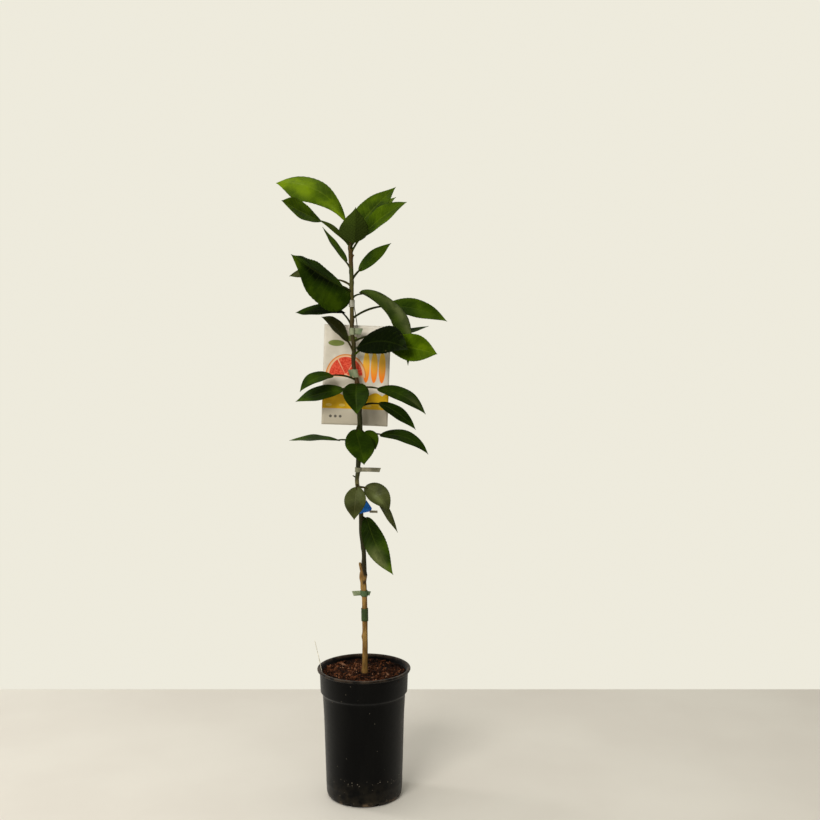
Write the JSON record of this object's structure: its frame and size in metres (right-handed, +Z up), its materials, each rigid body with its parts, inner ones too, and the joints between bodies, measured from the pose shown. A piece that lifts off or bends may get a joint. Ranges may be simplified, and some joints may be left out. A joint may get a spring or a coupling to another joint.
{
  "type": "potted grapefruit tree",
  "caption": "Young grafted citrus tree on a single slender stem with broad glossy leaves, soft ties, a blue tag and a hanging picture card, growing in a round black nursery pot.",
  "frame": {"origin": "centre of the pot's flat underside, the face the plant stands on", "axes": "+Z up along the stem, +Y away from the viewer of the picture, +X to that viewer's right"},
  "size_m": [0.2797, 0.1763, 1.0259],
  "materials": {
    "pot": "satin black nursery plastic",
    "soil": "moist dark bark and peat mix",
    "bark": "olive bark, greener towards the top",
    "leaf_young": "soft yellow-green young leaf",
    "leaf_mature": "glossy dark green leaf",
    "leaf_old": "dull olive leaf",
    "tape": "pale green-grey soft plastic tape",
    "tag": "blue plastic tape",
    "card": "printed coated card with citrus fruit in coral, orange and gold",
    "hanger": "translucent whitish strap",
    "straw": "pale dry straw"
  },
  "bodies": {
    "root": {"pot": "pot", "soil": "soil", "trunk": "bark", "leaf_01_crown_left": "leaf_young", "leaf_02_crown_left_low": "leaf_young", "leaf_03_crown_right_high": "leaf_young", "leaf_04_crown_right": "leaf_young", "leaf_05_crown_front": "leaf_mature", "leaf_06_crown_behind": "leaf_young", "leaf_07_back_crown": "leaf_mature", "leaf_08_left_slim": "leaf_mature", "leaf_09_right_small": "leaf_mature", "leaf_10_left_large": "leaf_mature", "leaf_11_left_hidden": "leaf_old", "leaf_12_right_drooping": "leaf_mature", "leaf_13_right_far": "leaf_mature", "leaf_14_left_shaded": "leaf_mature", "leaf_15_right_tip": "leaf_mature", "leaf_16_right_bright": "leaf_young", "leaf_17_right_arched": "leaf_mature", "leaf_18_left_olive": "leaf_old", "leaf_19_left_bowed": "leaf_mature", "leaf_20_middle_front": "leaf_mature", "leaf_21_left_level": "leaf_mature", "leaf_22_right_long": "leaf_mature", "leaf_23_right_lower": "leaf_mature", "leaf_24_middle_round": "leaf_mature", "leaf_25_middle_right": "leaf_mature", "leaf_26_right_lowest": "leaf_mature", "leaf_27_left_flat": "leaf_mature", "leaf_28_back_middle": "leaf_mature", "leaf_29_low_left": "leaf_old", "leaf_30_low_right": "leaf_old", "leaf_31_low_hanging": "leaf_old", "leaf_32_back_low": "leaf_old", "leaf_33_lowest": "leaf_mature", "leaf_34_back_lowest": "leaf_old", "tie_low": "tape", "graft_tape": "tape", "tie_middle": "tape", "tie_card": "tape", "tie_high": "tape", "tag_blue": "tag", "label_card": "card", "card_hanger": "hanger", "straw": "straw"}
  },
  "joints": []
}
